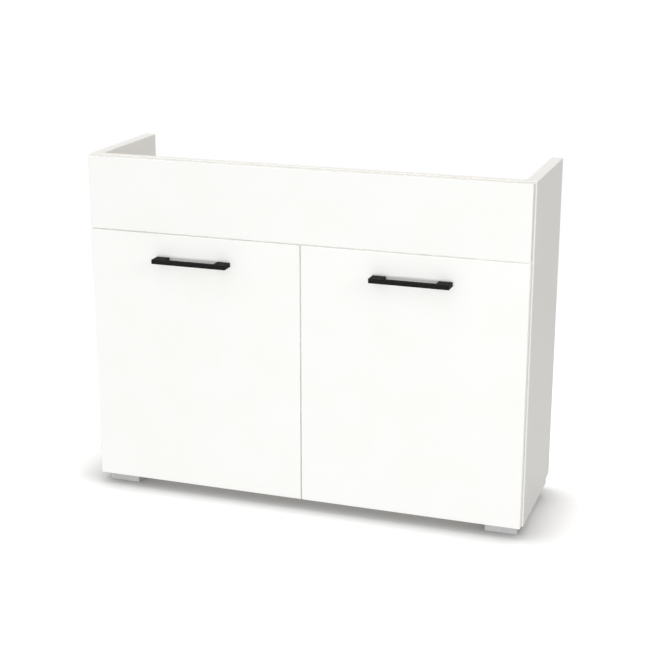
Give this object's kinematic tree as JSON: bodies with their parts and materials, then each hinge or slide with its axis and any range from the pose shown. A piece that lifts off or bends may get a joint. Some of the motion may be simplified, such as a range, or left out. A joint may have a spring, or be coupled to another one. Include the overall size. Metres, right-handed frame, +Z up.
{
  "type": "sink base cabinet",
  "caption": "Shallow sink base cabinet with open top and back, fixed fascia, overlay doors on concealed four-joint hinges, flat bar handles and block feet.",
  "frame": {"origin": "on the floor, under the centre of the closed cabinet with its handles", "axes": "+X to the right seen from the front, +Y to the back, +Z up; the doors face -Y"},
  "size_m": [1, 0.3314, 0.775],
  "materials": {
    "laminate": "white melamine-faced particle board with matching edge band",
    "black": "satin black",
    "silver": "silver-grey, satin metallic",
    "nickel": "bright nickel plating",
    "zinc": "dull zinc plating",
    "clear": "clear soft elastomer"
  },
  "bodies": {
    "carcass": {"side_panel_left": "laminate", "side_panel_right": "laminate", "bottom_panel": "laminate", "front_rail": "laminate", "rear_rail_upper": "laminate", "rear_rail_lower": "laminate", "fascia_panel": "laminate", "foot_front_left": "silver", "foot_front_right": "silver", "foot_rear_left": "silver", "foot_rear_right": "silver", "foot_screw_front_left": "zinc", "foot_screw_front_right": "zinc", "foot_screw_rear_left": "zinc", "foot_screw_rear_right": "zinc", "fascia_screw_1": "zinc", "fascia_screw_2": "zinc", "fascia_screw_3": "zinc", "fascia_screw_4": "zinc", "cam_connector_bottom_front_left": "zinc", "cam_connector_bottom_front_right": "zinc", "cam_connector_bottom_rear_left": "zinc", "cam_connector_bottom_rear_right": "zinc", "cam_connector_front_rail_left": "zinc", "cam_connector_front_rail_right": "zinc", "cam_connector_rear_rail_left": "zinc", "cam_connector_rear_rail_right": "zinc", "hinge_arm_left_top": "nickel", "hinge_arm_left_bottom": "nickel", "hinge_arm_right_top": "nickel", "hinge_arm_right_bottom": "nickel", "hinge_plate_left_top": "nickel", "hinge_plate_left_bottom": "nickel", "hinge_plate_right_top": "nickel", "hinge_plate_right_bottom": "nickel"},
    "left_outer_links": {"hinge_outer_link_left_top": "nickel", "hinge_outer_link_left_bottom": "nickel"},
    "left_inner_links": {"hinge_inner_link_left_top": "nickel", "hinge_inner_link_left_bottom": "nickel"},
    "left_door": {"door_left": "laminate", "handle_left": "black", "handle_screw_left_outer": "zinc", "handle_screw_left_inner": "zinc", "door_bumper_left_top": "clear", "door_bumper_left_bottom": "clear", "hinge_cup_left_top": "nickel", "hinge_cup_left_bottom": "nickel"},
    "right_outer_links": {"hinge_outer_link_right_top": "nickel", "hinge_outer_link_right_bottom": "nickel"},
    "right_inner_links": {"hinge_inner_link_right_top": "nickel", "hinge_inner_link_right_bottom": "nickel"},
    "right_door": {"door_right": "laminate", "handle_right": "black", "handle_screw_right_outer": "zinc", "handle_screw_right_inner": "zinc", "door_bumper_right_top": "clear", "door_bumper_right_bottom": "clear", "hinge_cup_right_top": "nickel", "hinge_cup_right_bottom": "nickel"}
  },
  "joints": [
    {"name": "left_outer_link_pivot", "type": "hinge", "parent": "carcass", "child": "left_outer_links", "pos_m": [-0.4628, -0.11912, 0.3165], "axis": [0, 0, 1], "range_deg": [0, 48]},
    {"name": "left_door_pivot", "type": "hinge", "parent": "left_outer_links", "child": "left_door", "pos_m": [-0.48346, -0.12283, 0.3165], "axis": [0, 0, -1], "range_deg": [0, 140.97]},
    {"name": "left_inner_link_pivot", "type": "hinge", "parent": "carcass", "child": "left_inner_links", "pos_m": [-0.4558, -0.11353, 0.3165], "axis": [0, 0, 1], "range_deg": [0, 20.6]},
    {"name": "right_outer_link_pivot", "type": "hinge", "parent": "carcass", "child": "right_outer_links", "pos_m": [0.4628, -0.11912, 0.3165], "axis": [0, 0, -1], "range_deg": [0, 48]},
    {"name": "right_door_pivot", "type": "hinge", "parent": "right_outer_links", "child": "right_door", "pos_m": [0.48346, -0.12283, 0.3165], "axis": [0, 0, 1], "range_deg": [0, 140.97]},
    {"name": "right_inner_link_pivot", "type": "hinge", "parent": "carcass", "child": "right_inner_links", "pos_m": [0.4558, -0.11353, 0.3165], "axis": [0, 0, -1], "range_deg": [0, 20.6]}
  ],
  "couplings": [
    {"joint": "left_outer_link_pivot", "follows": "left_door_pivot", "ratio": 0.3261},
    {"joint": "left_inner_link_pivot", "follows": "left_door_pivot", "ratio": 0.14006},
    {"joint": "right_outer_link_pivot", "follows": "right_door_pivot", "ratio": 0.3261},
    {"joint": "right_inner_link_pivot", "follows": "right_door_pivot", "ratio": 0.14006}
  ]
}
